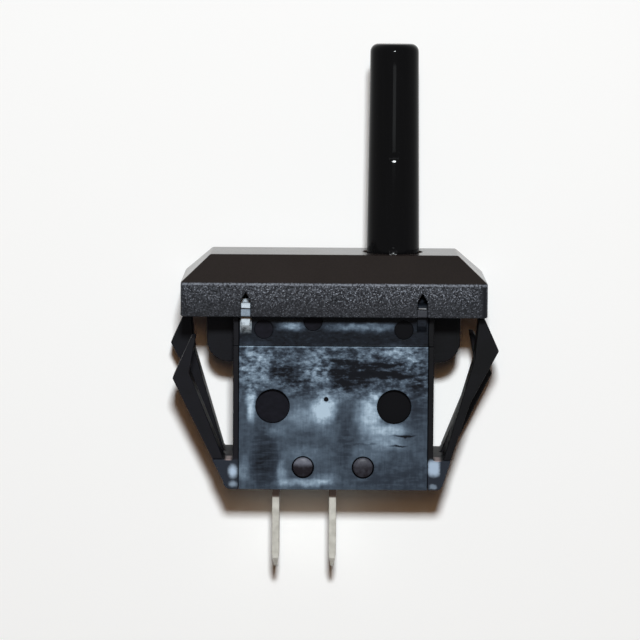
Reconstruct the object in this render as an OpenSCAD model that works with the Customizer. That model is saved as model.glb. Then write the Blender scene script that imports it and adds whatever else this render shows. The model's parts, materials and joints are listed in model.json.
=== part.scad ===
// Snap-in door switch: a bevelled bezel with a long off-centre plunger over a
// narrow body that is held in a panel cut-out by four barbed arms.
// Millimetres. Z = 0 is the panel face, +Z runs out along the plunger,
// the cover is on the -Y side and the plunger stands towards +X.

/* [Body] */
// Length of the body
body_length = 22.2; // [20.5:0.1:26]
// Width of the body, front to rear
body_width = 12.2; // [11.8:0.1:14]
// Depth of the body behind the panel face
body_depth = 19.4; // [18:0.1:24]
// Wall of the body
body_wall = 1.3; // [1.1:0.05:1.5]
// Height of the floor block that holds the tabs
floor_height = 4; // [3.5:0.1:5]
// Height of the neck band below the panel face
neck_height = 3.4; // [2.8:0.1:4]
// How far the neck is set back from the body's front and rear faces
neck_setback = 0.6; // [0.4:0.05:0.8]
// How far the collar reaches up into the bezel
collar_height = 1.8; // [1.7:0.05:2.2]
// Rim of the side wall that shows beside the cover
side_rim = 0.6; // [0.4:0.05:0.8]

/* [Bezel] */
// How far the bezel stands out past each end of the body
end_overhang = 5.8; // [5:0.05:7]
// How far the bezel stands out past the front and rear of the body
side_overhang = 1.8; // [1.6:0.05:2.6]
// Height of the upright skirt
skirt_height = 3.75; // [3.5:0.05:5]
// Height of the bevel above the skirt
bevel_rise = 2.9; // [2.4:0.1:4]
// How far the bevel draws in
bevel_run = 3.2; // [2:0.1:3.6]
// Wall of the skirt and of the bevel
bezel_wall = 1.5; // [1.3:0.05:1.7]
// Thickness of the bezel's flat top
bezel_top = 1.6; // [1:0.1:2]
// Radius of the skirt's upright corners
corner_radius = 0.6; // [0.3:0.1:1.2]

/* [Plunger] */
// Diameter of the plunger where it leaves the bezel
plunger_base_d = 5.9; // [5.2:0.1:6.2]
// Diameter of the plunger at its tip
plunger_tip_d = 5.4; // [4.6:0.1:5.8]
// How far the plunger stands out of the bezel
plunger_reach = 23.2; // [12:0.1:30]
// Radius round the edge of the tip
tip_radius = 0.9; // [0.3:0.1:1.8]
// Travel of the plunger
travel = 6; // [4.5:0.1:6.8]
// Side step of the cam for each millimetre of travel
cam_slope = 0.1; // [0.06:0.01:0.12]
// How far the cam face stands in front of the plunger's axis at the follower
cam_reach = 3.2; // [3.1:0.05:3.6]

/* [Snap arms] */
// Width of one arm
arm_width = 4; // [3.4:0.1:4.4]
// Gap between the front and the rear arm
arm_gap = 2.8; // [2.4:0.1:3.2]
// Slope of the barb's outer flank, side step for each millimetre of height
barb_slope = 0.45; // [0.35:0.01:0.5]
// Reach of the high barb past the end of the body
high_reach = 7.2; // [6.8:0.1:7.6]
// Depth of the high barb's point below the panel face
high_drop = 3.9; // [3.6:0.1:4.4]
// Reach of the low barb past the end of the body
low_reach = 6.75; // [6.4:0.05:7.2]
// Depth of the low barb's point below the panel face
low_drop = 7.15; // [6.8:0.05:7.6]
// Height of the foot that joins the two arms of one end, up to their crotch
foot_height = 3.3; // [2.6:0.1:3.4]
// Radius round the foot of an arm
foot_radius = 0.85; // [0.4:0.05:0.9]
// Radius of the crotch between an arm and the body
crotch_radius = 0.5; // [0.3:0.05:0.6]

/* [Cover] */
// Thickness of the cover
cover_thickness = 1.6; // [1.4:0.1:1.8]
// Diameter of the two round recesses in its face
recess_d = 3.8; // [3:0.1:4.4]
// Depth of the recesses
recess_depth = 1; // [0.6:0.1:1.1]
// Distance of a recess's centre from the end of the cover
recess_inset = 3.77; // [2.8:0.01:4.6]
// Depth of the recesses below the panel face
recess_drop = 10.1; // [9:0.1:11]
// Diameter of the two staked pins that hold the cover
stake_d = 2.3; // [1.8:0.1:2.4]
// Distance between the staked pins
stake_spacing = 6.66; // [5.6:0.02:7.4]
// Height of the staked pins above the bottom of the body
stake_rise = 2.5; // [2:0.1:2.6]

/* [Latches] */
// Distance of a latch from the end of the cover
latch_inset = 0.77; // [0.7:0.01:1.6]
// Width of a latch slot in the skirt
latch_width = 1.1; // [0.9:0.05:1.3]
// Height of the sill below each latch window
sill_height = 0.85; // [0.7:0.05:1]
// Height of the straight part of a latch window
window_height = 0.9; // [0.8:0.05:1]
// Height of the window's pointed top
window_peak = 1; // [0.6:0.05:1.2]

/* [Terminals] */
// Width of a quick-connect tab
tab_width = 6.35; // [4.75:0.05:6.6]
// Thickness of a tab
tab_thickness = 0.8; // [0.5:0.05:0.9]
// Length of a tab below the body
tab_length = 9.2; // [7:0.1:11]
// Distance between the two tabs
tab_pitch = 6.35; // [6:0.05:6.8]
// Diameter of the detent hole in a tab
tab_hole_d = 1.65; // [1.2:0.05:2]
// Distance from the tip of a tab to its detent hole
tab_hole_rise = 4; // [3.4:0.1:4.6]

/* [Contacts] */
// Diameter of a contact button
contact_d = 2.4; // [2:0.1:2.6]
// Height of a contact button
contact_height = 0.6; // [0.4:0.05:0.8]
// Distance from the switched tab to the contact buttons
contact_offset = 1.95; // [1.85:0.05:2.2]
// Height of the lever's pivot above the floor block
pivot_rise = 4.2; // [4:0.1:4.5]
// Distance along the body from the pivot to the follower
follower_offset = 1.75; // [1.4:0.05:1.9]
// Diameter of the pivot pin
pivot_d = 1.2; // [1:0.05:1.3]

/* [Springs] */
// Outer diameter of the return spring
return_spring_d = 4; // [3.6:0.1:4.2]
// Wire of the return spring
return_wire = 0.5; // [0.35:0.05:0.55]
// Turns of the return spring
return_turns = 10; // [7:1:12]
// Outer diameter of the contact spring
contact_spring_d = 2.8; // [2.6:0.05:2.9]
// Wire of the contact spring
contact_wire = 0.3; // [0.2:0.05:0.35]
// Turns of the contact spring
contact_turns = 6; // [5:1:8]

/* [Clearances] */
// Play between fixed pieces that are pushed or laid together
fit_gap = 0.05; // [0.02:0.01:0.08]
// Play of the plunger in the bezel, on the radius
plunger_gap = 0.1; // [0.05:0.01:0.15]
// Room between the plunger's carriage and the end wall
slide_gap = 0.2; // [0.15:0.01:0.3]
// Room round the plunger's guide rib
guide_gap = 0.15; // [0.1:0.01:0.2]
// Running play of the lever on its pin, on the radius
pivot_gap = 0.05; // [0.02:0.01:0.08]
// Room between the follower and the cam at rest
cam_gap = 0.05; // [0.03:0.01:0.1]

/* [Hidden] */
$fn = 48;
over = 1; // how far a cut runs past the face it opens
arc_steps = 6;

// Body and cover
half_length = body_length / 2;
half_width = body_width / 2;
neck_half = half_width - neck_setback;
cavity_end = half_length - body_wall;
cavity_front = -half_width + cover_thickness;
cavity_rear = half_width - body_wall;
neck_rear = neck_half - body_wall;
body_bottom = -body_depth;
floor_top = body_bottom + floor_height;
crotch_z = body_bottom + foot_height;
cover_end = half_length - side_rim;
stake_z = body_bottom + stake_rise;
stake_short = 0.12;
stake_play = 0.08;
gate_d = 0.5;
gate_depth = 0.3;
gate_at = [-0.8, -9.3];
skirt_gate_at = [0, 2.1];
skirt_gate_depth = 0.15;
ejector_d = 2.1;
ejector_depth = 0.4;
ejectors_at = [[-7.75, -1.6], [-2.3, -0.7], [7.75, -1.6]];
recess_x = cover_end - recess_inset;

// Bezel
rim_length = half_length + end_overhang;
rim_width = half_width + side_overhang;
bezel_height = skirt_height + bevel_rise;
inner_top = bezel_height - bezel_top;
inner_ledge = 0.6;
inner_skirt = skirt_height - inner_ledge;
inner_draw = (inner_top - inner_skirt) * bevel_run / bevel_rise;
boss_wall = 1.2;
boss_room = 0.2;
boss_bottom = collar_height + boss_room;
seat_room = 0.2;
seat_half = neck_rear - seat_room;
countersink = 0.25;

// Latches, drawn on the front and mirrored to the rear
latch_x = cover_end - latch_inset;
hook_room = 0.15;
window_top = sill_height + window_height;
slot_setback = 0.45;
sill_front = rim_width - slot_setback;
hook_nose = sill_front - hook_room;
hook_neck = rim_width - bezel_wall - hook_room;
hook_lead = 0.7;
hook_root = 1.8;
hook_short = 0.3;
hook_top = window_top - hook_short;
hook_chamfer = 0.25;

// Plunger and its carriage
carriage_shoulder = 0.1;
plunger_radius = plunger_base_d / 2;
carriage_end = cavity_end - slide_gap;
plunger_x = carriage_end - carriage_shoulder - plunger_radius;
plunger_top = bezel_height + plunger_reach;
carriage_room = 0.6;
carriage_half = neck_rear - carriage_room;
stop_gap = 0.1;
carriage_top = boss_bottom - stop_gap;
floor_room = 1.2;
carriage_bottom = floor_top + travel + floor_room;
pocket_room = 0.2;
pocket_wall = 0.65;
pocket_roof = 2.5;
pocket_radius = return_spring_d / 2 + pocket_room;
pocket_top = carriage_top - pocket_roof;
guide_width = 1.2;
groove_floor = pocket_radius + pocket_wall;

// Lever, contacts and terminals
nose_radius = 0.65;
nose_rise = 1.4;
nose_z = carriage_bottom + nose_rise;
nose_x = plunger_x - cam_reach - (nose_radius + cam_gap) * sqrt(1 + cam_slope * cam_slope);
pivot = [nose_x - follower_offset, floor_top + pivot_rise];
common_x = 0; // the common tab stands in the middle of the body
switched_x = common_x - tab_pitch;
contact_x = switched_x + contact_offset;
pin_room = 0.95;
pin_head = 0.35;
wing_room = 0.3;
wing_outer = -cavity_front - pin_room - pin_head;
wing_inner = wing_outer - tab_thickness;
lever_half = wing_inner - wing_room;
lever_strip = 0.9;
lever_lift = 0.05;
lever_bottom = pivot[1] + lever_lift;
lever_top = lever_bottom + lever_strip;
hub_wall = 0.7;
hub_radius = pivot_d / 2 + hub_wall;
arm_end = 0.9;
contact_gap = 0.05;
rivet_d = 1.2;
rivet_play = 0.025;
arm_wall = 0.875;
arm_half = min(lever_half, rivet_d / 2 + rivet_play + arm_wall);
tail_d = 1.7;
tail_height = 0.4;
foot_bottom = lever_top + 2 * contact_height + contact_gap;
foot_top = foot_bottom + tab_thickness;
foot_half = 1.8;
wing_wall = 0.6;
wing_half = pivot_d / 2 + wing_wall;
wing_top = pivot[1] + wing_half;
shelf_room = 0.2;
shelf_top = pivot[1] - hub_radius - shelf_room;
pin_play = 0.02;
pin_end = 0.2;
pin_rim = 0.4;
pin_head_radius = pivot_d / 2 + pin_rim;
shoulder_room = 0.8;
shoulder_half = -cavity_front - shoulder_room;
tip_bottom = body_bottom - tab_length;
tip_taper = 1.5;
tip_chamfer = 1;
tip_thickness = 0.35;

// Springs and the posts that centre them
spring_play = 0.02;
post_play = 0.15;
return_post = 3;
contact_post = 1.2;
ring_steps = 16;
wire_sides = 8;
closed_pitch = 1.05;

// Lugs between the arms
lug_room = 1.25;
lug_end = rim_length - bezel_wall - lug_room;
lug_gap = 0.2;
lug_half = arm_gap / 2 - lug_gap;
lug_drop = 3.3;
lug_radius = 2.4;

// Snap arms: places along each arm, measured from the point of its barb or from the body
high_root = 0.9;
high_bend_back = 3.15;
high_bend_fall = 5.9;
high_knee_back = 2.7;
high_knee_fall = 0.95;
high_tip_drop = 0.35;
high_tip_wall = 0.65;
high_inner = 1.3;
low_root = 0.65;
low_knee_back = 1.85;
low_knee_rise = 0.65;
low_tip_drop = 2.6;
low_tip_wall = 0.5;
low_inner = 1.25;

// Points on an arc in a plane, by its centre, radius and two angles
function arc(centre, radius, from, to) = [
    for (i = [0:arc_steps])
        let (a = from + (to - from) * i / arc_steps)
        centre + radius * [cos(a), sin(a)]
];

// Outline of a rectangle with round corners
function round_rectangle(half_x, half_y, radius) = [
    for (corner = [0:3])
        let (sx = (corner == 0 || corner == 3) ? 1 : -1, sy = corner < 2 ? 1 : -1)
        each arc([sx * (half_x - radius), sy * (half_y - radius)], radius, 90 * corner, 90 * corner + 90)
];

// Cam face of the carriage at a height
function cam_x(z) = plunger_x - cam_reach - cam_slope * (z - nose_z);

// Height of a spring's wire centre after a number of turns, with closed ends
function coil_rise(turn, turns, total, closed) =
    turn <= 1 ? closed * turn
    : turn >= turns - 1 ? total - closed * (turns - turn)
    : closed + (turn - 1) * (total - 2 * closed) / (turns - 2);

// Box between two corners
module block(low, high) {
    translate(low) cube(high - low);
}

// Outline in X and Z drawn out along Y
module prism_y(outline, front, rear) {
    translate([0, rear, 0]) rotate([90, 0, 0]) linear_extrude(rear - front) polygon(outline);
}

// Outline in Y and Z drawn out along X
module prism_x(outline, left, right) {
    translate([left, 0, 0]) rotate([90, 0, 90]) linear_extrude(right - left) polygon(outline);
}

// Round bar along X from one coordinate to another
module bar_x(radius, from, to, y, z) {
    translate([from, y, z]) rotate([0, 90, 0]) cylinder(r = radius, h = to - from);
}

// Round bar along Y from one coordinate to another
module bar_y(radius, from, to, x, z) {
    translate([x, to, z]) rotate([90, 0, 0]) cylinder(r = radius, h = to - from);
}

// Upright round bar from one height to another
module bar_z(radius, from, to, x) {
    translate([x, 0, from]) cylinder(r = radius, h = to - from);
}

// Bevelled block: skirt half sizes, skirt height, full height and draw of the bevel
module bevelled_block(half_x, half_y, bottom, skirt, top, draw) {
    intersection() {
        prism_y([
            [-half_x, bottom], [half_x, bottom], [half_x, skirt],
            [half_x - draw, top], [draw - half_x, top], [-half_x, skirt]
        ], -half_y - over, half_y + over);
        prism_x([
            [-half_y, bottom], [half_y, bottom], [half_y, skirt],
            [half_y - draw, top], [draw - half_y, top], [-half_y, skirt]
        ], -half_x - over, half_x + over);
    }
}

// One latch slot on the front: a shallow channel over the sill, then a pointed window
module latch_slot() {
    half = latch_width / 2;
    block([-half, -rim_width - over, -over], [half, -sill_front, sill_height]);
    prism_y([
        [-half, sill_height], [half, sill_height], [half, window_top],
        [0, window_top + window_peak], [-half, window_top]
    ], -rim_width - over, -rim_width + bezel_wall + over / 2);
}

// One latch hook on the front of the neck, which sits over the sill of its slot
module latch_hook() {
    half = latch_width / 2 - fit_gap;
    under = sill_height + fit_gap;
    prism_x([
        [-neck_half + fit_gap, -hook_root], [-neck_half, -hook_root], [-hook_neck, hook_lead - hook_root],
        [-hook_neck, under], [-hook_nose, under], [-hook_nose, hook_top - hook_chamfer],
        [-hook_nose + hook_chamfer, hook_top], [-neck_half + fit_gap, hook_top]
    ], -half, half);
}

// Outline of a snap arm at the +X end. Points are given as reach past the body and
// depth below the panel face.
function arm_outline(root_out, bends, barb, tip_drop, tip_wall, knee, root_in) =
    let (
        tip_out = barb[0] - barb_slope * (barb[1] - tip_drop),
        crotch = -crotch_z,
        foot_out = root_out + foot_radius
            * (concat(bends, [barb])[0][0] - root_out) / (body_depth - concat(bends, [barb])[0][1])
    )
    [
        for (p = concat(
            [[-fit_gap, body_depth]],
            arc([foot_out - foot_radius, body_depth - foot_radius], foot_radius, 90, 0),
            bends,
            [barb, [tip_out, tip_drop], [tip_out - tip_wall, tip_drop], knee],
            arc([root_in - crotch_radius, crotch - crotch_radius], crotch_radius, 0, 90),
            [[-fit_gap, crotch]]
        ))
        [half_length + p[0], -p[1]]
    ];

// The high and the low arm of one end, on the full-width foot that joins them
module arm_pair() {
    inner = arm_gap / 2;
    outer = inner + arm_width;
    high_barb = [high_reach, high_drop];
    high_bend = [high_reach - high_bend_back, high_drop + high_bend_fall];
    high_knee = [high_reach - high_knee_back, high_drop + high_knee_fall];
    low_barb = [low_reach, low_drop];
    low_knee = [low_reach - low_knee_back, low_drop - low_knee_rise];
    high = arm_outline(
        high_root, [high_bend], high_barb, high_tip_drop, high_tip_wall, high_knee, high_inner
    );
    low = arm_outline(low_root, [], low_barb, low_tip_drop, low_tip_wall, low_knee, low_inner);
    prism_y(high, -outer, -inner);
    prism_y(low, inner, outer);
    intersection() {
        union() {
            prism_y(high, -half_width, 0);
            prism_y(low, 0, half_width);
        }
        block([half_length - fit_gap, -half_width, body_bottom],
            [rim_length, half_width, crotch_z]);
    }
}

// Round-cornered lug of one end, which centres the bezel
module lug() {
    inside = half_length - fit_gap;
    prism_y(concat(
        [[inside, -lug_drop - lug_radius], [inside, collar_height], [lug_end, collar_height]],
        arc([lug_end - lug_radius, -lug_drop], lug_radius, 0, -90)
    ), -lug_half, lug_half);
}

// Compression spring with closed ends, standing on a height
module coil_spring(x, outer_d, wire, bottom, top, turns) {
    rings = turns * ring_steps;
    radius = (outer_d - wire) / 2;
    total = top - bottom - wire;
    points = [
        for (i = [0:rings], s = [0:wire_sides - 1])
            let (
                turn = i / ring_steps,
                side = 360 * s / wire_sides,
                reach = radius + wire / 2 * cos(side),
                rise = coil_rise(turn, turns, total, closed_pitch * wire)
            )
            [
                x + reach * cos(360 * turn),
                reach * sin(360 * turn),
                bottom + wire / 2 + rise + wire / 2 * sin(side)
            ]
    ];
    skin = [
        for (i = [0:rings - 1], s = [0:wire_sides - 1])
            let (next = (s + 1) % wire_sides, low = i * wire_sides, high = low + wire_sides)
            [low + s, low + next, high + next, high + s]
    ];
    first_cap = [for (s = [wire_sides - 1:-1:0]) s];
    last_cap = [for (s = [0:wire_sides - 1]) rings * wire_sides + s];
    polyhedron(points, concat(skin, [first_cap, last_cap]));
}

// Quick-connect tab with its blade up to a height, centred on X = 0
module tab_blade(top) {
    half_y = tab_width / 2;
    half_x = tab_thickness / 2;
    difference() {
        intersection() {
            prism_x([
                [-half_y, top], [half_y, top], [half_y, tip_bottom + tip_chamfer],
                [half_y - tip_chamfer, tip_bottom], [tip_chamfer - half_y, tip_bottom],
                [-half_y, tip_bottom + tip_chamfer]
            ], -half_x, half_x);
            prism_y([
                [-half_x, top], [half_x, top], [half_x, tip_bottom + tip_taper],
                [tip_thickness / 2, tip_bottom], [-tip_thickness / 2, tip_bottom],
                [-half_x, tip_bottom + tip_taper]
            ], -half_y, half_y);
        }
        bar_x(tab_hole_d / 2, -half_x - over, half_x + over, 0, tip_bottom + tab_hole_rise);
    }
    block([-half_x, -shoulder_half, floor_top], [half_x, shoulder_half, floor_top + tab_thickness]);
}

// Contact rivet: button, shank and tail. The button faces up from the seat, or down.
module contact_rivet(seat, thickness, up) {
    way = up ? 1 : -1;
    button = [seat, seat + way * contact_height];
    tail = [seat - way * thickness, seat - way * (thickness + tail_height)];
    bar_z(contact_d / 2, min(button), max(button), contact_x);
    bar_z(tail_d / 2, min(tail), max(tail), contact_x);
    ends = concat(button, tail);
    bar_z(rivet_d / 2, min(ends) + tail_height / 2, max(ends) - tail_height / 2, contact_x);
}

module bezel() {
    hole = plunger_radius + plunger_gap;
    color("#2f2a28") difference() {
        union() {
            difference() {
                intersection() {
                    bevelled_block(rim_length, rim_width, 0, skirt_height, bezel_height, bevel_run);
                    linear_extrude(bezel_height)
                        polygon(round_rectangle(rim_length, rim_width, corner_radius));
                }
                bevelled_block(rim_length - bezel_wall, rim_width - bezel_wall,
                    -over, inner_skirt, inner_top, inner_draw);
            }
            bar_z(hole + boss_wall, boss_bottom, inner_top + bezel_top / 2, plunger_x);
            for (side = [-1, 1])
                translate([side * (half_length - body_wall / 2), 0, 0])
                    block([-body_wall / 2, -seat_half, collar_height],
                        [body_wall / 2, seat_half, inner_top + bezel_top / 2]);
        }
        bar_z(hole, 0, bezel_height + over, plunger_x);
        translate([plunger_x, 0, bezel_height - countersink])
            cylinder(r1 = hole, r2 = hole + 2 * countersink, h = 2 * countersink);
        for (x = [-1, 1], face = [0, 1])
            translate([x * latch_x, 0, 0]) mirror([0, face, 0]) latch_slot();
        bar_y(gate_d / 2, -rim_width - over, -rim_width + skirt_gate_depth,
            skirt_gate_at[0], skirt_gate_at[1]);
    }
}

module housing() {
    color("#17181b") {
        difference() {
            union() {
                block([-half_length, -half_width, body_bottom], [half_length, half_width, -neck_height]);
                block([-half_length, -neck_half, -neck_height - over],
                    [half_length, neck_half, collar_height]);
            }
            // Room for the mechanism, open to the front and the top
            block([-cavity_end, cavity_front - over, floor_top], [cavity_end, cavity_rear, -neck_height]);
            block([-cavity_end, cavity_front - over, -neck_height - over],
                [cavity_end, neck_rear, collar_height + over]);
            // Rebate for the cover
            block([-cover_end, -half_width - over, body_bottom - over],
                [cover_end, cavity_front, collar_height + over]);
            // Slots for the tabs
            for (x = [common_x, switched_x])
                translate([x, 0, 0])
                    block([-tab_thickness / 2 - fit_gap, -tab_width / 2 - fit_gap, body_bottom - over],
                        [tab_thickness / 2 + fit_gap, tab_width / 2 + fit_gap, floor_top + over]);
        }
        for (turn = [0, 180]) rotate(turn) {
            arm_pair();
            lug();
        }
        for (x = [-1, 1]) {
            bar_y(stake_d / 2, -half_width + stake_short, cavity_front + over,
                x * stake_spacing / 2, stake_z);
            translate([x * latch_x, 0, 0]) mirror([0, 1, 0]) latch_hook();
        }
        bar_z(return_spring_d / 2 - return_wire - post_play, floor_top - over, floor_top + return_post,
            plunger_x);
        bar_z(contact_spring_d / 2 - contact_wire - post_play, floor_top - over, floor_top + contact_post,
            contact_x);
        // Rib that keeps the plunger's carriage from turning
        block([plunger_x - guide_width / 2, groove_floor + guide_gap, floor_top - over],
            [plunger_x + guide_width / 2, cavity_rear + fit_gap, -neck_height]);
        block([plunger_x - guide_width / 2, groove_floor + guide_gap, -neck_height - over],
            [plunger_x + guide_width / 2, neck_rear + fit_gap, collar_height]);
    }
}

module cover() {
    end = cover_end - fit_gap;
    color("#3c454e") {
        difference() {
            union() {
                block([-end, -half_width, body_bottom], [end, cavity_front, -neck_height]);
                block([-end, -neck_half, -neck_height - over], [end, cavity_front, collar_height]);
            }
            for (x = [-1, 1]) {
                bar_y(recess_d / 2, -half_width - over, -half_width + recess_depth,
                    x * recess_x, -recess_drop);
                bar_y(stake_d / 2 + stake_play, -half_width - over, cavity_front + over,
                    x * stake_spacing / 2, stake_z);
            }
            bar_y(gate_d / 2, -half_width - over, -half_width + gate_depth, gate_at[0], gate_at[1]);
            for (at = ejectors_at)
                bar_y(ejector_d / 2, -neck_half - over, -neck_half + ejector_depth, at[0], at[1]);
        }
        for (x = [-1, 1]) translate([x * latch_x, 0, 0]) latch_hook();
    }
}

module plunger() {
    tip = plunger_tip_d / 2;
    color("#0f0f10") difference() {
        union() {
            translate([plunger_x, 0, 0]) rotate_extrude() polygon(concat(
                [[0, pocket_top], [plunger_radius, pocket_top], [plunger_radius, bezel_height]],
                arc([tip - tip_radius, plunger_top - tip_radius], tip_radius, 0, 90),
                [[0, plunger_top]]
            ));
            prism_y([
                [cam_x(carriage_bottom), carriage_bottom], [carriage_end, carriage_bottom],
                [carriage_end, carriage_top], [cam_x(carriage_top), carriage_top]
            ], -carriage_half, carriage_half);
        }
        bar_z(pocket_radius, carriage_bottom - over, pocket_top, plunger_x);
        block([plunger_x - guide_width / 2 - guide_gap, groove_floor, carriage_bottom - over],
            [plunger_x + guide_width / 2 + guide_gap, carriage_half + over, carriage_top + over]);
    }
}

module return_spring() {
    color("silver") coil_spring(plunger_x, return_spring_d, return_wire,
        floor_top + spring_play, pocket_top - spring_play, return_turns);
}

module contact_spring() {
    color("silver") coil_spring(contact_x, contact_spring_d, contact_wire,
        floor_top + spring_play, lever_bottom - spring_play, contact_turns);
}

module contact_lever() {
    lean = [nose_x, nose_z] - pivot;
    color("#b5933f") difference() {
        union() {
            bar_y(hub_radius, -lever_half, lever_half, pivot[0], pivot[1]);
            block([contact_x - arm_end, -arm_half, lever_bottom], [pivot[0], arm_half, lever_top]);
            translate([pivot[0], 0, pivot[1]]) rotate([0, atan2(lean[0], lean[1]), 0])
                block([-lever_strip / 2, -lever_half, 0], [lever_strip / 2, lever_half, norm(lean)]);
            bar_y(nose_radius, -lever_half, lever_half, nose_x, nose_z);
        }
        bar_y(pivot_d / 2 + pivot_gap, -lever_half - over, lever_half + over, pivot[0], pivot[1]);
        bar_z(rivet_d / 2 + rivet_play, lever_bottom - over, lever_top + over, contact_x);
    }
}

module moving_contact() {
    color("#c9c9c4") contact_rivet(lever_top, lever_strip, true);
}

module fixed_contact() {
    color("#c9c9c4") contact_rivet(foot_bottom, tab_thickness, false);
}

module pivot_pin() {
    rear = wing_outer + pin_end;
    front = -wing_outer;
    color("#9a9da0") {
        bar_y(pivot_d / 2, front - pin_head / 2, rear, pivot[0], pivot[1]);
        bar_y(pin_head_radius, front - pin_head, front, pivot[0], pivot[1]);
    }
}

module terminal_common() {
    half = tab_thickness / 2;
    shelf = [min(common_x - half, pivot[0] - wing_half), max(common_x + half, pivot[0] + wing_half)];
    color("#c8c6bb") {
        translate([common_x, 0, 0]) tab_blade(shelf_top);
        block([shelf[0], -wing_outer, shelf_top - tab_thickness], [shelf[1], wing_outer, shelf_top]);
        for (face = [0, 1]) mirror([0, face, 0]) difference() {
            block([pivot[0] - wing_half, wing_inner, shelf_top - tab_thickness / 2],
                [pivot[0] + wing_half, wing_outer, wing_top]);
            bar_y(pivot_d / 2 + pin_play, wing_inner - over, wing_outer + over, pivot[0], pivot[1]);
        }
    }
}

module terminal_switched() {
    half = tab_thickness / 2;
    color("#c8c6bb") {
        translate([switched_x, 0, 0]) tab_blade(foot_top);
        difference() {
            block([switched_x - half, -foot_half, foot_bottom], [contact_x + foot_half, foot_half, foot_top]);
            bar_z(rivet_d / 2 + rivet_play, foot_bottom - over, foot_top + over, contact_x);
        }
    }
}

bezel();
housing();
cover();
plunger();
return_spring();
contact_spring();
contact_lever();
moving_contact();
pivot_pin();
terminal_common();
terminal_switched();
fixed_contact();
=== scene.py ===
"""Looks of a snap-in door switch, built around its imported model.

Every moulding and stamping is a soft-edged copy of its solid with a finish of its own.
The coil springs and the staked pin heads are made by Geometry Nodes.
Objects are in metres. Patterns and the places named below are in millimetres of the part's own frame:
Z = 0 is the panel face, +Z runs along the plunger and the cover faces -Y.
"""

import json
import math

import bmesh
import bpy
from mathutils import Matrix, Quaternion, Vector
from mathutils.bvhtree import BVHTree


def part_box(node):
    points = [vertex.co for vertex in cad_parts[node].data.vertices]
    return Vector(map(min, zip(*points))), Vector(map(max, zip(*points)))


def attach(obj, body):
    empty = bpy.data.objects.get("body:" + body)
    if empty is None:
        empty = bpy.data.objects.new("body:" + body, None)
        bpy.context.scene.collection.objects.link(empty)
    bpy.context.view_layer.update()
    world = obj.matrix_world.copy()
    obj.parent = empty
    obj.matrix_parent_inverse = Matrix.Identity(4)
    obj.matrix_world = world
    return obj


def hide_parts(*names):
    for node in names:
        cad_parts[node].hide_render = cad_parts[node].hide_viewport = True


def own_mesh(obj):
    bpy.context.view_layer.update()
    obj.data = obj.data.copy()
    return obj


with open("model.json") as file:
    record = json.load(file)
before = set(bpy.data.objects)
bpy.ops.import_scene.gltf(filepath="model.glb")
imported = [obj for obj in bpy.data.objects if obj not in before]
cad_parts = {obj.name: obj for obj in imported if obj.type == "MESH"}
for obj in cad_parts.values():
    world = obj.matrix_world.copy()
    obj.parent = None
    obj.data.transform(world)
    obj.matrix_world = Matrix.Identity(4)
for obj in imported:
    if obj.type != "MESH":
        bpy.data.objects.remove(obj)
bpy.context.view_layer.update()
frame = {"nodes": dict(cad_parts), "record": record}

MM = 0.001
RECORD = frame["record"]
BODY_OF = {node: body for body, nodes in RECORD["behaviour"]["bodies"].items() for node in nodes}

# Places on the part, in millimetres
RIM_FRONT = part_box("bezel")[0].y / MM
BODY_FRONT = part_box("housing")[0].y / MM
BODY_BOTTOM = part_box("cover")[0].z / MM
COVER_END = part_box("cover")[1].x / MM
PLUNGER_X = sum(corner.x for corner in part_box("return_spring")) / 2 / MM
SKIRT_TOP = 3.75
NECK_BOTTOM = -3.4
NECK_SETBACK = 0.6
LATCH_X = -9.73
LATCH_HALF = 0.5
SILL_HALF = 0.4
SILL_SETBACK = 0.45
FOOT_TOP = -16.05
CROTCH_X = 11.6
CROTCH_Z = -16.1
STAKE_Z = -16.9


class Wire:
    """An output socket that takes part in Python arithmetic: each operation adds a Math node."""

    def __init__(self, tree, socket):
        self.tree = tree
        self.socket = socket

    def math(self, operation, *terms):
        """Number from a Math node."""
        return self.tree.node("ShaderNodeMath", {"operation": operation}, dict(enumerate(terms)))

    def __add__(self, other):
        return self.math("ADD", self, other)

    __radd__ = __add__

    def __sub__(self, other):
        return self.math("SUBTRACT", self, other)

    def __rsub__(self, other):
        return self.math("SUBTRACT", other, self)

    def __mul__(self, other):
        return self.math("MULTIPLY", self, other)

    __rmul__ = __mul__

    def __truediv__(self, other):
        return self.math("DIVIDE", self, other)

    def __abs__(self):
        return self.math("ABSOLUTE", self)

    def least(self, other):
        return self.math("MINIMUM", self, other)

    def most(self, other):
        return self.math("MAXIMUM", self, other)

    def rise(self, low, high, top=1.0):
        """Smooth step from 0 at low to top at high. It falls where low is above high."""
        return self.tree.node(
            "ShaderNodeMapRange",
            {"interpolation_type": "SMOOTHSTEP"},
            {"Value": self, "From Min": low, "From Max": high, "To Max": top},
        )

    def within(self, middle, half, soft):
        """1 within a distance of a middle value, with a soft edge."""
        return abs(self - middle).rise(half + soft, half - soft)


class Tree:
    """A node tree in the making."""

    def __init__(self, tree):
        self.nodes = tree.nodes
        self.links = tree.links

    def node(self, kind, settings=None, inputs=None, output=0):
        """Make a node: its settings first, then the values or wires of its sockets. Gives one output."""
        made = self.nodes.new(kind)
        for name, value in (settings or {}).items():
            if name == "stops":
                set_stops(made.color_ramp, value)
            else:
                setattr(made, name, value)
        for name, value in (inputs or {}).items():
            if isinstance(value, Wire):
                self.links.new(value.socket, made.inputs[name])
            else:
                made.inputs[name].default_value = value
        return Wire(self, made.outputs[output]) if made.outputs else None

    def vector(self, operation, *terms, **named):
        """Vector from a Vector Math node."""
        inputs = {**dict(enumerate(terms)), **named}
        return self.node("ShaderNodeVectorMath", {"operation": operation}, inputs)

    def length(self, place):
        """Distance of a place from the origin."""
        return self.node("ShaderNodeVectorMath", {"operation": "LENGTH"}, {0: place}, output="Value")


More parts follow.
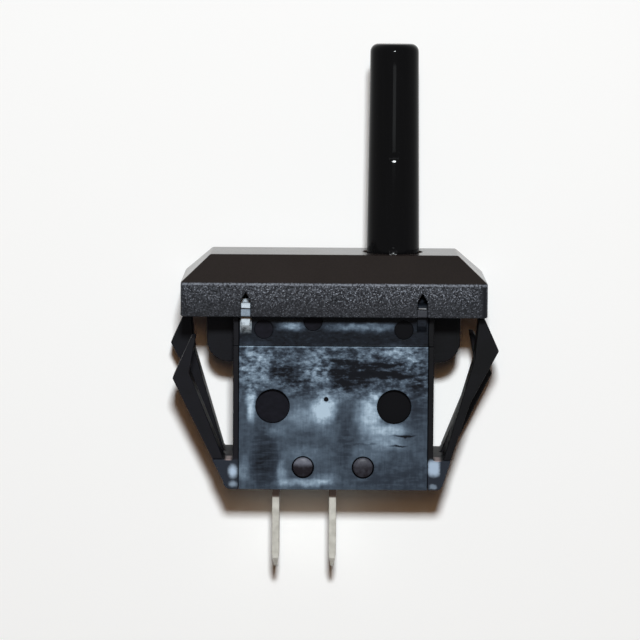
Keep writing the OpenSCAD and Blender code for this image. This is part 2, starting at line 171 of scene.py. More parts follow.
class Finish(Tree):
    """A material in the making, with coordinates in millimetres of the part's own frame."""

    def __init__(self, name):
        self.material = bpy.data.materials.new(name)
        self.material.use_nodes = True
        super().__init__(self.material.node_tree)
        self.nodes.clear()
        place = self.node("ShaderNodeTexCoord", output="Object")
        self.place = self.vector("SCALE", place, Scale=1 / MM)
        self.x, self.y, self.z = (
            self.node("ShaderNodeSeparateXYZ", inputs={0: self.place}, output=axis) for axis in "XYZ"
        )

    def noise(self, scale, detail=2.0, stretch=(1, 1, 1), shift=(0, 0, 0), output=0):
        """Noise with about scale bumps to the millimetre, drawn out along an axis by a small stretch."""
        scales = [scale * share for share in stretch]
        at = self.node(
            "ShaderNodeMapping", inputs={"Vector": self.place, "Location": shift, "Scale": scales}
        )
        inputs = {"Vector": at, "Scale": 1.0, "Detail": detail}
        return self.node("ShaderNodeTexNoise", inputs=inputs, output=output)

    def warped(self, scale, reach):
        """The place on the part, pushed about by noise, so that what is drawn there has ragged edges."""
        push = self.noise(scale, detail=4.0, output="Color")
        push = self.vector("SUBTRACT", push, (0.5, 0.5, 0.5))
        push = self.vector("SCALE", push, Scale=2 * reach)
        return self.vector("ADD", self.place, push)

    def patch(self, place, x, z, half_x, half_z, strength=1.0, soft=0.5, boxy=False):
        """A soft patch in X and Z, oval or with squarer corners."""
        at = self.node(
            "ShaderNodeMapping",
            inputs={
                "Vector": place,
                "Location": (-x / half_x, 0, -z / half_z),
                "Scale": (1 / half_x, 0, 1 / half_z),
            },
        )
        if boxy:
            at = self.vector("MULTIPLY", at, at)
        return self.length(at).rise(1 + soft, 1 - soft, strength)

    def tint(self, share, none, full):
        """Colour that goes from none to full with a share."""
        settings = {"data_type": "RGBA", "clamp_factor": True}
        return self.node("ShaderNodeMix", settings, {0: share, 6: none, 7: full}, output=2)

    def ramp(self, share, stops):
        """Colour at a share of the way along a row of stops."""
        return self.node("ShaderNodeValToRGB", {"stops": stops}, {"Fac": share})

    def relief(self, height, depth):
        """Bumped normal from a height between 0 and 1 and its depth in millimetres."""
        inputs = {"Height": height, "Distance": depth * MM, "Strength": 1.0}
        return self.node("ShaderNodeBump", inputs=inputs)

    def shade(self, **sockets):
        """Principled shader on the material's output. Underscores in the names stand for spaces."""
        inputs = {name.replace("_", " "): value for name, value in sockets.items()}
        shader = self.node("ShaderNodeBsdfPrincipled", inputs=inputs)
        self.node("ShaderNodeOutputMaterial", inputs={"Surface": shader})
        return self.material


def set_stops(color_ramp, stops):
    """Give a colour ramp its stops as pairs of position and colour."""
    while len(color_ramp.elements) < len(stops):
        color_ramp.elements.new(1.0)
    for element, (position, colour) in zip(color_ramp.elements, stops):
        element.position = position
        element.color = colour


def display(red, green, blue):
    """Linear colour from the 0 to 255 values that a screen shows."""
    shown = [channel / 255 for channel in (red, green, blue)]
    return tuple(c / 12.92 if c < 0.04045 else ((c + 0.055) / 1.055) ** 2.4 for c in shown) + (1.0,)


# Colours of the mouldings and of the painted shadow on the tabs.
# Where there are two, the finish goes from the first to the second.
BEVEL_BROWN = display(30, 25, 23), display(44, 38, 36)
# Skirt: dark grey to the pale grey of its painted sparkle
SKIRT_GREY_AND_PAINTED_SPARKLE = display(24, 25, 29), display(150, 156, 168)
# Painted glint on the left latch sill
LEFT_SILL_PAINTED_GLINT = display(152, 168, 184)
RIGHT_SILL = display(58, 60, 66)
COVER_BLACK = display(10, 10, 13), display(29, 29, 37)
# Painted glint on the left hook
HOOK_PAINTED_GLINT = display(202, 214, 224)
# Painted highlight line on the right hook
HOOK_PAINTED_LINE = display(186, 188, 192)
HOUSING_BLACK = display(11, 11, 13), display(24, 24, 29)
FOOT_GREY = display(38, 43, 52)
# Painted glints on the feet
PAINTED_GLINT_PALE = display(176, 196, 218)
# Painted highlight in the crotch
CROTCH_PAINTED_HIGHLIGHT = display(170, 154, 154)
# Pin heads: dark to the colour of their painted highlight
STAKE_PAINTED_HIGHLIGHT = display(22, 18, 23), display(104, 107, 119)
PLUNGER_BLACK = display(5, 5, 6), display(10, 10, 12)
DUST_GREY = display(60, 62, 68)
# Painted shadow at the roots of the tabs
TAB_PAINTED_SHADOW = display(58, 38, 24)
# Colour of the painted reflection and smudge on the cover by how much of it there is
SMUDGE_AND_REFLECTION_STOPS = (
    (0.0, display(19, 21, 26)),
    (0.2, display(49, 57, 68)),
    (0.4, display(84, 98, 113)),
    (0.7, display(130, 149, 167)),
    (1.0, display(180, 201, 219)),
)

# Patches of painted reflection and smudge on the cover: middle x and z, half width and half height,
# strength.
# They lie on top, and rubbed streaks show the clean black.
SMUDGE_AND_REFLECTION_SPOTS = (
    (-8.8, -5.3, 1.7, 1.9, 0.26),
    (-1.6, -5.6, 1.3, 1.6, 0.26),
    (6.8, -3.9, 1.5, 0.6, 0.24),
    (8.7, -4.9, 0.9, 0.8, 0.16),
    (0.1, -8.9, 1.4, 0.7, 0.28),
    (-1.0, -10.4, 1.1, 1.3, 0.8),
    (-0.8, -12.6, 1.2, 0.8, 0.12),
    (-3.2, -11.1, 2.0, 1.3, 0.28),
    (4.1, -10.9, 1.3, 1.8, 0.6),
    (4.7, -8.9, 0.6, 0.5, 0.36),
    (6.3, -12.7, 1.6, 0.6, 0.5),
    (6.2, -14.1, 1.7, 0.7, 0.36),
    (4.4, -13.4, 1.3, 1.0, 0.16),
    (-9.15, -9.9, 0.5, 1.7, 0.66),
    (-6.2, -12.9, 1.3, 0.6, 0.16),
    (-3.2, -15.5, 2.1, 0.8, 0.16),
    (3.9, -15.5, 1.7, 0.8, 0.16),
    (-5.6, -17.7, 0.5, 1.3, 0.36),
    (-2.8, -18.6, 2.6, 0.35, 0.4),
    (-0.9, -18.2, 1.2, 0.5, 0.24),
    (-9.9, -17.2, 0.5, 1.2, 0.2),
    (-4.6, -1.2, 1.2, 0.5, 0.62),
    (3.2, -1.3, 3.6, 0.5, 0.44),
)
RUBBED = (
    (0.9, -5.0, 1.8, 0.22, 0.3),
    (4.4, -5.5, 3.6, 0.34, 0.35),
    (2.9, -6.3, 3.9, 0.4, 0.45),
    (5.9, -6.6, 2.6, 0.34, 0.35),
    (1.8, -7.4, 1.8, 0.6, 0.4),
    (-5.4, -6.3, 1.5, 0.5, 0.25),
    (-3.9, -7.4, 1.3, 0.5, 0.2),
    (9.3, -8.9, 0.9, 2.6, 0.16),
    (7.7, -13.3, 1.0, 0.12, 0.5),
    (7.2, -14.4, 0.7, 0.12, 0.5),
    (3.6, -14.3, 1.2, 0.1, 0.22),
    (1.3, -13.9, 0.8, 2.6, 0.08),
    (-7.6, -16.0, 1.2, 3.0, 0.2),
    (7.2, -18.3, 4.2, 1.6, 0.08),
)
# Painted reflection and smudge that lie all over the neck and the face below it
NECK_SMUDGE_AND_REFLECTION = 0.03
FACE_SMUDGE_AND_REFLECTION = 0.28
# Heights between which the painted reflection on the face goes from brushed below to mottled and flecked
# above
FLECKED_HEIGHTS = (-10.5, -7.0)
# Painted glints on the feet of the arms, pale patches that stand in for reflections, given in the same
# way. Those at +X have squarer corners.
FOOT_PAINTED_GLINTS = (
    (-11.1, -17.4, 0.4, 0.6, 1.0),
    (-11.05, -18.8, 0.4, 0.3, 0.5),
    (11.2, -16.9, 0.6, 0.85, 0.9),
    (11.1, -19.0, 0.4, 0.25, 0.35),
)
# Painted sparkle highlights on the skirt: where its front sparkles most, given in the same way, the
# heights between which the painted sparkle grows and the X between which it gives way to painted shade
# at the right corner
PAINTED_SKIRT_SHEEN = (3.5, 2.6, 9.0, 2.2, 0.5)
PAINTED_SPARKLE_GROWS = (0.6, 3.2)
CORNER_SHADE_PAINTED = (15.9, 16.5)
# Each moulding darkens between two X, towards the plunger; on the cover it is painted shade, on the
# parts behind its face
BEZEL_DARKENS = (-17, 17)
COVER_PAINTED_SHADE = (-4, 4)
HOUSING_DARKENS = (-6, 8)
# Painted highlight on the floor of the crotch of the arms, pale in front, from the first Y to the second
CROTCH_HIGHLIGHT_DEPTHS = (-2.6, -3.4)


def bezel_finish():
    """Brown-black moulding: a smooth bevel over a spark-eroded skirt, with painted sparkle, painted
    highlights and painted shade.
    """
    finish = Finish("bezel_moulding")
    skirt = finish.z.rise(SKIRT_TOP + 0.1, SKIRT_TOP - 0.1)
    cloud = finish.noise(0.22, detail=3.0)
    grain = finish.noise(4.6, detail=3.0)
    fine = finish.noise(10.0, detail=1.0, shift=(4, 1, 7))
    # Painted sparkle: pale specks that stand in for highlights on the eroded grain
    spark = finish.noise(7.0, detail=1.0, shift=(2, 8, 3)).rise(0.56, 0.7)
    painted_sheen = finish.patch(finish.place, *PAINTED_SKIRT_SHEEN, soft=0.9)
    upper = finish.z.rise(*PAINTED_SPARKLE_GROWS)
    # Grain in paler grey, with painted sparkle that grows towards the top and in the painted sheen at
    # the middle
    grain_and_painted_sparkle = grain.rise(0.38, 0.75) * (0.09 + upper * 0.12)
    grain_and_painted_sparkle = grain_and_painted_sparkle + spark * fine.rise(0.35, 0.65) * (0.45 + painted_sheen + cloud * 0.8) * (0.4 + upper)
    # Painted shade: the sparkle is left out near the right end, where the rounded corner falls into
    # shade
    plain = finish.x.rise(*CORNER_SHADE_PAINTED) * finish.y.rise(RIM_FRONT + 0.3, RIM_FRONT + 0.1)
    grain_and_painted_sparkle = grain_and_painted_sparkle * (1 - plain)
    # Painted highlight along the top edge of the skirt
    edge = finish.z.within(SKIRT_TOP - 0.14, 0.12, 0.1) * grain.rise(0.3, 0.6) * 0.7
    shade = cloud * 0.5 + grain * 0.6 - finish.x.rise(*BEZEL_DARKENS) * 0.3
    smooth = finish.tint(shade, *BEVEL_BROWN)
    eroded = finish.tint(grain_and_painted_sparkle.most(edge), *SKIRT_GREY_AND_PAINTED_SPARKLE)
    colour = finish.tint(skirt, smooth, eroded)
    sill = finish.z.within(SILL_HALF, SILL_HALF, 0.06)
    sill = sill * finish.y.within(RIM_FRONT + SILL_SETBACK, 0.1, 0.05)
    # Painted glint: the left latch sill is painted pale
    left = sill * finish.x.within(LATCH_X, LATCH_HALF, 0.06)
    colour = finish.tint(left * (0.4 + fine * 0.7), colour, LEFT_SILL_PAINTED_GLINT)
    right = sill * finish.x.within(-LATCH_X, LATCH_HALF, 0.06)
    colour = finish.tint(right * (0.6 + grain * 0.6), colour, RIGHT_SILL)
    return finish.shade(
        Base_Color=colour,
        Roughness=0.14 + cloud * 0.06 + skirt * 0.3,
        Normal=finish.relief((grain + fine * 0.4) * skirt, 0.02),
        Specular_IOR_Level=0.08,
    )


def cover_smudge_and_reflection(finish, below):
    """How much painted reflection and smudge lies on the cover, with the two patterns that its other
    looks share.
    """
    ragged = finish.warped(0.9, 0.5)
    mottle = finish.noise(2.2, detail=5.0, stretch=(0.6, 1, 1), shift=(3, 0, 5))
    brushed = finish.noise(4.5, detail=3.0, stretch=(1, 1, 0.14))
    streak = finish.noise(3.4, detail=3.0, stretch=(0.14, 1, 1))
    fleck = finish.noise(5.0, detail=3.0, stretch=(0.5, 1, 1), shift=(7, 0, 1))
    smudge_and_reflection = NECK_SMUDGE_AND_REFLECTION + below * (FACE_SMUDGE_AND_REFLECTION - NECK_SMUDGE_AND_REFLECTION)
    for spot in SMUDGE_AND_REFLECTION_SPOTS:
        smudge_and_reflection = smudge_and_reflection + finish.patch(ragged, *spot, soft=0.75)
    # How mottled and flecked the painted reflection is, more so higher up the face
    painted_reflection_share = finish.z.rise(*FLECKED_HEIGHTS) * (0.3 + below * 0.7)
    smudge_and_reflection = smudge_and_reflection * (1 + (mottle.rise(0.25, 0.75) - 0.5) * (0.3 + painted_reflection_share * 1.1))
    smudge_and_reflection = smudge_and_reflection * (1 + (brushed.rise(0.25, 0.75) - 0.5) * 0.16)
    smudge_and_reflection = smudge_and_reflection + (fleck.rise(0.44, 0.3) * 0.35 - fleck.rise(0.54, 0.7) * 0.3) * painted_reflection_share * mottle
    for spot in RUBBED:
        smudge_and_reflection = smudge_and_reflection - finish.patch(ragged, *spot, soft=0.8) * (0.4 + streak.rise(0.3, 0.6) * 0.8)
    # Painted highlight along the top edge of the cover's face
    smudge_and_reflection = smudge_and_reflection + finish.z.within(NECK_BOTTOM - 0.08, 0.05, 0.04) * 0.25
    return smudge_and_reflection, mottle, brushed


# Painted glint on the latch hook at -X, near white where its faces catch the light: half width, then
# where the painted glint sets in, by height and by Y, and the heights between which its patches join up
HOOK_HALF = 0.62
HOOK_RISES = (-2.2, -1.2)
HOOK_FRONTS = (-5.3, -5.6)
HOOK_FILLS = (0.3, 0.6)
# Painted highlight, a pale line across the dark hook at +X: half length and height
LINE_HALF = 0.42
LINE_Z = 0.9


def cover_finish():
    """Glossy black plate under a painted blue-grey reflection with smudges, rubbed clean in streaks."""
    finish = Finish("cover_plate")
    below = finish.z.rise(NECK_BOTTOM + 0.05, NECK_BOTTOM - 0.05)
    front = BODY_FRONT + NECK_SETBACK * (1 - below)
    face = (finish.y - front).rise(0.14, 0.04)
    smudge_and_reflection, mottle, brushed = cover_smudge_and_reflection(finish, below)
    smudge_and_reflection = smudge_and_reflection * face
    # Painted reflection: the blue-grey smudged film stands in for the room mirrored in the glossy face
    smudge_and_reflection_colour = finish.ramp(smudge_and_reflection, SMUDGE_AND_REFLECTION_STOPS)
    hook = finish.x.within(LATCH_X, HOOK_HALF, 0.06) * finish.z.rise(*HOOK_RISES)
    hook = hook * finish.y.rise(*HOOK_FRONTS)
    # Painted glint: the lit faces of the left hook painted near white
    white = hook * finish.noise(2.0, detail=3.0).rise(0.25, 0.6).most(finish.z.rise(*HOOK_FILLS))
    colour = finish.tint(white, smudge_and_reflection_colour, HOOK_PAINTED_GLINT)
    # Clean black behind the face, with painted shade towards +X
    dark = finish.tint(mottle - finish.x.rise(*COVER_PAINTED_SHADE) * 0.8, *COVER_BLACK)
    colour = finish.tint((1 - face) * (1 - hook), colour, dark)
    # Painted highlight: a pale line across the lower nose of the right hook
    line = finish.x.within(-LATCH_X, LINE_HALF, 0.06) * finish.z.within(LINE_Z, 0.1, 0.05)
    colour = finish.tint(line, colour, HOOK_PAINTED_LINE)
    return finish.shade(
        Base_Color=colour,
        Roughness=0.34 + smudge_and_reflection * 0.2 + (1 - face) * 0.25,
        Normal=finish.relief(brushed, 0.006),
        Specular_IOR_Level=0.04,
    )


def housing_finish():
    """Satin black moulding with grey feet that carry painted glints, and a painted highlight in the
    crotch of the arms.
    """
    finish = Finish("housing_moulding")
    cloud = finish.noise(0.5, detail=4.0)
    fine = finish.noise(4.0, detail=2.0)
    shade = cloud * 1.2 - finish.x.rise(*HOUSING_DARKENS) * 0.5
    colour = finish.tint(shade, *HOUSING_BLACK)
    ragged = finish.warped(2.2, 0.18)
    front = finish.y.rise(BODY_FRONT + 0.3, BODY_FRONT + 0.1)
    beside = abs(finish.x).rise(COVER_END - 0.05, COVER_END + 0.15)
    foot = finish.z.rise(FOOT_TOP + 0.15, FOOT_TOP - 0.15) * beside * front
    colour = finish.tint(foot, colour, FOOT_GREY)
    # Painted glints: pale patches on the front of the feet that stand in for reflections
    painted_reflection_share = sum(finish.patch(ragged, *spot, soft=0.75, boxy=spot[0] > 0) for spot in FOOT_PAINTED_GLINTS)
    colour = finish.tint(painted_reflection_share * front, colour, PAINTED_GLINT_PALE)
    # Painted highlight: a pale line on the floor of the crotch, in front
    crotch = finish.z.within(CROTCH_Z, 0.06, 0.03) * abs(finish.x).within(CROTCH_X, 0.3, 0.2)
    colour = finish.tint(crotch * finish.y.rise(*CROTCH_HIGHLIGHT_DEPTHS), colour, CROTCH_PAINTED_HIGHLIGHT)
    return finish.shade(
        Base_Color=colour,
        Roughness=0.42 + cloud * 0.16,
        Normal=finish.relief(fine, 0.008),
        Specular_IOR_Level=0.06,
    )


def stake_finish():
    """Pressed pin heads with a painted highlight on their upper halves, stronger on the left one than on
    the right.
    """
    finish = Finish("stake_heads")
    cloud = finish.noise(2.2, detail=4.0)
    right = finish.x.rise(-1, 1)
    # Painted highlight: the upper halves of the heads are painted pale, the left one more
    painted_highlight = finish.z.rise(STAKE_Z - 0.1, STAKE_Z + 0.6) * (0.9 - right * 0.6)
    painted_highlight = painted_highlight + (cloud - 0.5) * 0.5 + right * 0.1
    return finish.shade(
        Base_Color=finish.tint(painted_highlight, *STAKE_PAINTED_HIGHLIGHT),
        Roughness=0.26 + cloud * 0.16,
        Normal=finish.relief(cloud, 0.02),
        Specular_IOR_Level=0.1,
    )


# Shallow sink marks on the front of the plunger, whose lower halves gather a glint:
# height, half width and half height, depth as a share of MARK_DEPTH
SINKS = ((17.27, 0.38, 0.38, 1.0), (7.04, 0.34, 0.34, 0.9))
MARK_DEPTH = 0.066


def plunger_finish():
    """Polished black rod with faint draw marks along it and two sink marks that catch the light."""
    finish = Finish("plunger_rod")
    draw = finish.noise(2.4, detail=3.0, stretch=(1, 1, 0.05))
    dust = finish.noise(5.0, detail=2.0).rise(0.66, 0.8)
    colour = finish.tint(draw, *PLUNGER_BLACK)
    colour = finish.tint(dust * 0.15, colour, DUST_GREY)
    sunk = sum(finish.patch(finish.place, PLUNGER_X, *sink, soft=0.7) for sink in SINKS)
    return finish.shade(
        Base_Color=colour,
        Roughness=0.07 + draw * 0.03 + dust * 0.1,
        Normal=finish.relief(draw * 0.02 - sunk * finish.y.rise(0, -1), MARK_DEPTH),
        Specular_IOR_Level=0.05,
    )


# How far the painted shadow of the body reaches down the tabs
PAINTED_SHADOW_LENGTH = 1.3


def metal_finish(name, pale, deep, roughness, grain, stretch=(1, 1, 1), metallic=1.0, painted_root_shadow=False):
    """Bare or plated metal with a drawn or stamped grain and cloudy tarnish.

    With painted_root_shadow, the body's shadow is painted dark on it where it comes out of the bottom of
    the body.
    """
    finish = Finish(name)
    cloud = finish.noise(0.9, detail=4.0)
    drawn = finish.noise(grain, detail=3.0, stretch=stretch)
    colour = finish.tint(cloud.rise(0.3, 0.7), display(*deep), display(*pale))
    # Painted shadow: the tabs are dark just below the body, where its shadow falls
    if painted_root_shadow:
        end = BODY_BOTTOM - PAINTED_SHADOW_LENGTH
        colour = finish.tint(finish.z.rise(end - 0.12, end + 0.12), colour, TAB_PAINTED_SHADOW)
    return finish.shade(
        Base_Color=colour,
        Metallic=metallic,
        Roughness=roughness + drawn * 0.18,
        Normal=finish.relief(drawn, 0.01),
    )


STAKE_HEADS = stake_finish()
SPRING_STEEL = metal_finish("spring_wire", (205, 206, 208), (160, 162, 166), roughness=0.24, grain=6.0)
SILVER = metal_finish("contact_button", (226, 224, 218), (190, 187, 180), roughness=0.2, grain=7.0)
BRASS = metal_finish(
    "lever_strip", (206, 176, 96), (164, 128, 58), roughness=0.3, grain=5.0, stretch=(0.2, 1, 1)
)
PIN_STEEL = metal_finish(
    "turned_pin", (186, 188, 191), (146, 149, 153), roughness=0.22, grain=8.0, stretch=(1, 0.2, 1)
)
TINNED = metal_finish(
    "tinned_tab", (187, 185, 177), (163, 160, 152), roughness=0.36, grain=5.0, stretch=(1, 1, 0.15),
    metallic=0.25, painted_root_shadow=True,
)
FINISHES = {
    "bezel": bezel_finish(),
    "housing": housing_finish(),
    "cover": cover_finish(),
    "plunger": plunger_finish(),
    "contact_lever": BRASS,
    "moving_contact": SILVER,
    "fixed_contact": SILVER,
    "pivot_pin": PIN_STEEL,
    "terminal_common": TINNED,
    "terminal_switched": TINNED,
}

# Radius of the soft edges of each piece, in millimetres
EDGE_RADIUS = {
    "bezel": 0.14,
    "housing": 0.1,
    "cover": 0.08,
    "plunger": 0.08,
    "contact_lever": 0.08,
    "moving_contact": 0.08,
    "fixed_contact": 0.08,
    "pivot_pin": 0.06,
    "terminal_common": 0.07,
    "terminal_switched": 0.07,
}
EDGE_STEPS = 2
SHARP_ANGLE = math.radians(25)
# Distance in metres within which two points are one
MERGE_DISTANCE = 1e-7
# How far off an edge, in millimetres, the search for a way out of the switch starts,
# and how many ways it tries
OFF_EDGE = 0.02
WAY_COUNT = 60


def add_object(name, data):
    """Link a new object to the scene, at the origin."""
    made = bpy.data.objects.new(name, data)
    bpy.context.scene.collection.objects.link(made)
    return made


def settle(piece):
    """Turn the result of a piece's modifiers into its plain mesh."""
    bpy.context.view_layer.update()
    shown = piece.evaluated_get(bpy.context.evaluated_depsgraph_get())
    mesh = bpy.data.meshes.new_from_object(shown)
    piece.modifiers.clear()
    piece.data = mesh


def dress(piece, node, material, stands_for_node=True):
    """Put a piece on the body of its node, with its finish."""
    piece.data.materials.clear()
    piece.data.materials.append(material)
    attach(piece, BODY_OF[node])
    if stands_for_node:
        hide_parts(node)


def all_round(count):
    """Directions spread evenly over a sphere."""
    turn = math.pi * (3 - math.sqrt(5))
    for step in range(count):
        height = 1 - (2 * step + 1) / count
        reach = math.sqrt(1 - height * height)
        yield Vector((reach * math.cos(turn * step), reach * math.sin(turn * step), height))


def solids_tree():
    """Search tree of all the solids at rest."""
    points = []
    faces = []
    for solid in frame["nodes"].values():
        first = len(points)
        points += [vertex.co.copy() for vertex in solid.data.vertices]
        faces += [[first + i for i in face.vertices] for face in solid.data.polygons]
    return BVHTree.FromPolygons(points, faces)


SOLIDS = solids_tree()
WAYS_OUT = tuple(all_round(WAY_COUNT))
MOULDINGS = ("bezel", "housing", "cover")


def shows(edge):
    """Whether a straight way leads out of the switch from just off an edge."""
    outward = (edge.link_faces[0].normal + edge.link_faces[1].normal).normalized()
    start = (edge.verts[0].co + edge.verts[1].co) / 2 + outward * OFF_EDGE * MM
    return any(SOLIDS.ray_cast(start, way)[0] is None for way in WAYS_OUT if way.dot(outward) > 0)


def runs_out(edge):
    """Whether an edge lies where the front and rear arms meet, in a step that runs out to nothing."""
    return all(abs(vertex.co.y) < MERGE_DISTANCE for vertex in edge.verts)


def soft_edged(node):
    """Copy of a solid with rounded edges. The mouldings stay sharp inside, where no edge shows."""
    mesh = frame["nodes"][node].data.copy()
    form = bmesh.new()
    form.from_mesh(mesh)
    bmesh.ops.remove_doubles(form, verts=form.verts, dist=MERGE_DISTANCE)
    form.normal_update()
    weight = form.edges.layers.float.new("bevel_weight_edge")
    for edge in form.edges:
        sharp = edge.calc_face_angle(0) > SHARP_ANGLE
        edge.smooth = not sharp
        rounded = node not in MOULDINGS or (shows(edge) and not runs_out(edge))
        edge[weight] = float(sharp and rounded)
    for face in form.faces:
        face.smooth = True
    form.to_mesh(mesh)
    form.free()
    piece = add_object(node + "_piece", mesh)
    edges = piece.modifiers.new("soft_edges", "BEVEL")
    edges.width = EDGE_RADIUS[node] * MM
    edges.segments = EDGE_STEPS
    edges.limit_method = "WEIGHT"
    edges.use_clamp_overlap = False
    edges.loop_slide = False
    edges.harden_normals = True
    settle(piece)
    return piece


def shape_tree(name, sizes):
    """New Geometry Nodes tree with a number input for each size and one geometry output."""
    group = bpy.data.node_groups.new(name, "GeometryNodeTree")
    for size in sizes:
        group.interface.new_socket(size, in_out="INPUT", socket_type="NodeSocketFloat")
    group.interface.new_socket("Geometry", in_out="OUTPUT", socket_type="NodeSocketGeometry")
    tree = Tree(group)
    given = tree.nodes.new("NodeGroupInput")
    return group, tree, {size: Wire(tree, given.outputs[size]) for size in sizes}


def end_tree(tree, shape, material):
    """Realize a tree's shape, give it smooth faces and its material, and hand it to the output."""
    shape = tree.node("GeometryNodeRealizeInstances", inputs={0: shape})
    shape = tree.node("GeometryNodeSetShadeSmooth", inputs={"Geometry": shape, "Shade Smooth": True})
    shape = tree.node("GeometryNodeSetMaterial", inputs={"Geometry": shape, "Material": material})
    tree.node("NodeGroupOutput", inputs={0: shape})


def grown(name, group, sizes):
    """Object made by a Geometry Nodes tree from its sizes, as a plain mesh."""
    piece = add_object(name, bpy.data.meshes.new(name))
    modifier = piece.modifiers.new("shape", "NODES")
    modifier.node_group = group
    for item in group.interface.items_tree:
        if item.in_out == "INPUT":
            modifier[item.identifier] = float(sizes[item.name])
    settle(piece)
    return piece


STEPS_A_TURN = 24
WIRE_SIDES = 10


def spring_tree():
    """Compression spring with closed ends, wound round an upright axis."""
    sizes = ("Axis X", "Coil radius", "Wire radius", "Bottom", "Top", "Turns", "Closed pitch")
    group, tree, size = shape_tree("wound_spring", sizes)
    count = size["Turns"] * STEPS_A_TURN + 1
    line = tree.node("GeometryNodeMeshLine", inputs={"Count": count})
    path = tree.node("GeometryNodeMeshToCurve", inputs={"Mesh": line})
    turn = tree.node("GeometryNodeInputIndex") / STEPS_A_TURN
    first = turn.least(1.0)
    last = (turn - (size["Turns"] - 1)).most(0.0)
    height = size["Top"] - size["Bottom"] - 2 * size["Wire radius"]
    pitch = (height - 2 * size["Closed pitch"]) / (size["Turns"] - 2)
    rise = (first + last) * size["Closed pitch"] + (turn - first - last) * pitch
    angle = turn * math.tau
    place = tree.node("ShaderNodeCombineXYZ", inputs={
        "X": angle.math("COSINE", angle) * size["Coil radius"] + size["Axis X"],
        "Y": angle.math("SINE", angle) * size["Coil radius"],
        "Z": size["Bottom"] + size["Wire radius"] + rise,
    })
    path = tree.node("GeometryNodeSetPosition", inputs={"Geometry": path, "Position": place})
    section = tree.node(
        "GeometryNodeCurvePrimitiveCircle",
        inputs={"Resolution": WIRE_SIDES, "Radius": size["Wire radius"]},
    )
    wire = tree.node(
        "GeometryNodeCurveToMesh", inputs={"Curve": path, "Profile Curve": section, "Fill Caps": True}
    )
    end_tree(tree, wire, SPRING_STEEL)
    return group


# Wire diameter in millimetres, turns, the joint that presses the spring and the share left when pressed
SPRINGS = {
    "return_spring": (0.5, 10, "plunger_slide", 0.593),
    "contact_spring": (0.3, 6, "lever_tilt", 0.82),
}
# Rise of a closed end turn, as a share of the wire's diameter
CLOSED_PITCH = 1.05


def add_springs():
    """Wind both springs to the boxes of their solids."""
    group = spring_tree()
    for node, (wire, turns, joint, share) in SPRINGS.items():
        low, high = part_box(node)
        axis_x = (low.x + high.x) / 2
        spring = grown(node + "_piece", group, {
            "Axis X": axis_x,
            "Coil radius": (high.y - low.y - wire * MM) / 2,
            "Wire radius": wire * MM / 2,
            "Bottom": low.z,
            "Top": high.z,
            "Turns": turns,
            "Closed pitch": CLOSED_PITCH * wire * MM,
        })
        dress(spring, node, SPRING_STEEL)
        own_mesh(spring)


# Staked pins, in millimetres: how far apart they are, how far their ends lie behind the cover's face,
# and the radius and height of their domes
STAKE_SPACING = 6.66
STAKE_SHORT = 0.12
STAKE_RADIUS = 1.1
STAKE_DOME = 0.22
DOME_SEGMENTS = 32
DOME_RINGS = 16


def stake_tree():
    """Shallow domes on the ends of the two staked pins."""
    sizes = ("Spacing", "Front", "Height", "Radius", "Dome")
    group, tree, size = shape_tree("stake_heads", sizes)
    first = {"X": size["Spacing"] * -0.5, "Y": size["Front"], "Z": size["Height"]}
    start = tree.node("ShaderNodeCombineXYZ", inputs=first)
    step = tree.node("ShaderNodeCombineXYZ", inputs={"X": size["Spacing"]})
    pins = tree.node(
        "GeometryNodeMeshLine", inputs={"Count": 2, "Start Location": start, "Offset": step}
    )
    ball = tree.node(
        "GeometryNodeMeshUVSphere",
        inputs={"Segments": DOME_SEGMENTS, "Rings": DOME_RINGS, "Radius": size["Radius"]},
    )
    flat = tree.node(
        "ShaderNodeCombineXYZ", inputs={"X": 1.0, "Y": size["Dome"] / size["Radius"], "Z": 1.0}
    )
    domes = tree.node(
        "GeometryNodeInstanceOnPoints", inputs={"Points": pins, "Instance": ball, "Scale": flat}
    )
    end_tree(tree, domes, STAKE_HEADS)
    return group


def add_stake_heads():
    """Put the pin heads on the body of the housing, whose pins they end."""
    heads = grown("stake_heads", stake_tree(), {
        "Spacing": STAKE_SPACING * MM,
        "Front": (BODY_FRONT + STAKE_SHORT) * MM,
        "Height": STAKE_Z * MM,
        "Radius": STAKE_RADIUS * MM,
        "Dome": STAKE_DOME * MM,
    })
    dress(heads, "housing", STAKE_HEADS, stands_for_node=False)


# The camera stands in front of the cover, a little above it
CAMERA_AIM = Vector((-1.54, 0, -1.107)) * MM
CAMERA_DISTANCE = 420 * MM
CAMERA_ELEVATION = math.radians(6)
CAMERA_ROLL = math.radians(0.4)
CAMERA_LENS = 210.9
CAMERA_NEAR = 10 * MM


def add_camera():
    """Long lens that looks at the middle of the part."""
    data = bpy.data.cameras.new("camera")
    data.lens = CAMERA_LENS
    camera = add_object("camera", data)
    back = Vector((0, -math.cos(CAMERA_ELEVATION), math.sin(CAMERA_ELEVATION)))
    roll = Quaternion((0, 0, 1), CAMERA_ROLL)
    camera.location = CAMERA_AIM + back * CAMERA_DISTANCE
    camera.rotation_mode = "QUATERNION"
    camera.rotation_quaternion = (-back).to_track_quat("-Z", "Y") @ roll
    data.clip_start = CAMERA_NEAR
    bpy.context.scene.camera = camera


# Cool light from the front and warm light from below it and from all round add up to white
COOL = (0.92, 0.975, 1.0)
AMBER = (1.0, 0.56, 0.26)
WARM = (0.045, 0.025, 0.014, 1.0)
WHITE = (1.0, 1.0, 1.0, 1.0)
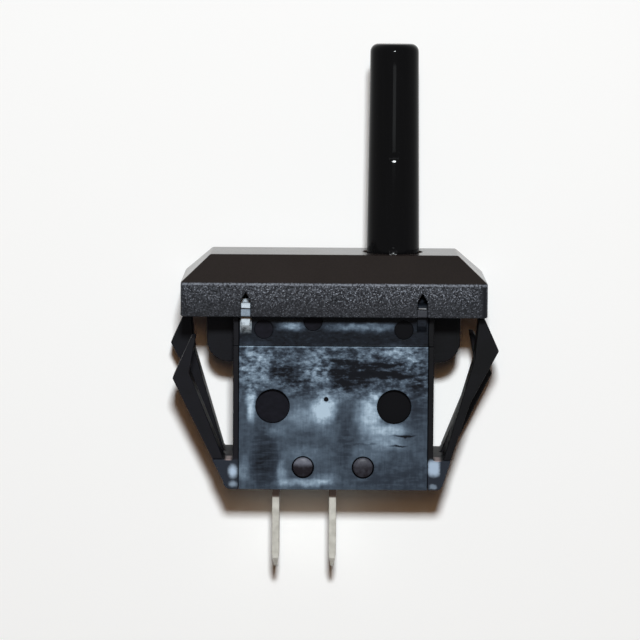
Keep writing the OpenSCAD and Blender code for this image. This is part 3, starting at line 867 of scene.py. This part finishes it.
# Lamps: place, width and height in metres, share of full light on a face that looks at the lamp, colour.
LAMPS = {
    "front_lamp": ((0.009, -0.471, 0.171), (0.045, 0.045), 0.945, COOL),
    "low_lamp": ((0.0, -0.48, 0.112), (0.08, 0.08), 0.07, AMBER),
    "glint_lamp": ((0.007, -0.25, 0.0175), (0.06, 0.018), 0.022, COOL),
    "rear_left_lamp": ((-0.35, 0.4, 0.3), (0.4, 0.4), 0.7, COOL),
    "rear_right_lamp": ((0.4, 0.35, 0.1), (0.4, 0.4), 0.7, COOL),
}
# Lamps that show in gloss, and the one that shows there alone
GLOSS_LAMPS = ("front_lamp", "glint_lamp")
GLOSS_ALONE = "glint_lamp"


def add_lamps():
    """Flat lamps that all look at the middle of the part."""
    for name, (place, size, share, colour) in LAMPS.items():
        data = bpy.data.lights.new(name, "AREA")
        data.shape = "RECTANGLE"
        data.size, data.size_y = size
        data.color = colour
        lamp = add_object(name, data)
        lamp.location = place
        away = lamp.location - CAMERA_AIM
        data.energy = share * (math.pi * away.length) ** 2
        lamp.rotation_mode = "QUATERNION"
        lamp.rotation_quaternion = (-away).to_track_quat("-Z", "Y")
        lamp.visible_camera = False
        lamp.visible_glossy = name in GLOSS_LAMPS
        lamp.visible_diffuse = name != GLOSS_ALONE


def in_sight(tree):
    """1 for rays that show a thing, straight or in gloss or glass, and 0 for rays that carry light."""
    kinds = ("Camera", "Glossy", "Transmission")
    return sum(tree.node("ShaderNodeLightPath", output=f"Is {kind} Ray") for kind in kinds)


def add_world():
    """Warm room light, with a white ground where the camera sees past the part."""
    world = bpy.data.worlds.new("room")
    bpy.context.scene.world = world
    world.use_nodes = True
    tree = Tree(world.node_tree)
    tree.nodes.clear()
    room = tree.node("ShaderNodeBackground", inputs={"Color": WARM})
    ground = tree.node("ShaderNodeBackground", inputs={"Color": WHITE})
    light = tree.node("ShaderNodeMixShader", inputs={0: in_sight(tree), 1: room, 2: ground})
    tree.node("ShaderNodeOutputWorld", inputs={"Surface": light})


# Half the paper's length in metres, and the distances in millimetres between which it fades
PAPER_HALF = 1.5
PAPER_FADES = (80, 150)


def add_paper():
    """White paper that the switch lies on: it touches the rear of the bezel and of the body.

    Away from the part it fades into the white ground, and it doesn't show from behind.
    """
    top = Vector((0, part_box("bezel")[1].y, 0))
    foot = Vector((0, -BODY_FRONT * MM, BODY_BOTTOM * MM))
    along = (top - foot).normalized()
    across = Vector((1, 0, 0))
    middle = (top + foot) / 2
    corners = [
        middle + across * (PAPER_HALF * sx) + along * (PAPER_HALF * sz)
        for sx, sz in ((-1, -1), (1, -1), (1, 1), (-1, 1))
    ]
    mesh = bpy.data.meshes.new("paper")
    mesh.from_pydata(corners, [], [(0, 1, 2, 3)])
    paper = add_object("paper", mesh)
    finish = Finish("paper")
    behind = finish.node("ShaderNodeNewGeometry", output="Backfacing")
    faded = finish.length(finish.place).rise(*PAPER_FADES) * in_sight(finish)
    front = finish.node("ShaderNodeBsdfDiffuse", inputs={"Color": WHITE})
    clear = finish.node("ShaderNodeBsdfTransparent")
    sheet = finish.node("ShaderNodeMixShader", inputs={0: behind.most(faded), 1: front, 2: clear})
    finish.node("ShaderNodeOutputMaterial", inputs={"Surface": sheet})
    mesh.materials.append(finish.material)
    paper.visible_shadow = False


for piece_node in EDGE_RADIUS:
    dress(soft_edged(piece_node), piece_node, FINISHES[piece_node])
add_springs()
add_stake_heads()
add_camera()
add_world()
add_lamps()
add_paper()
bpy.context.scene.view_settings.view_transform = "Standard"
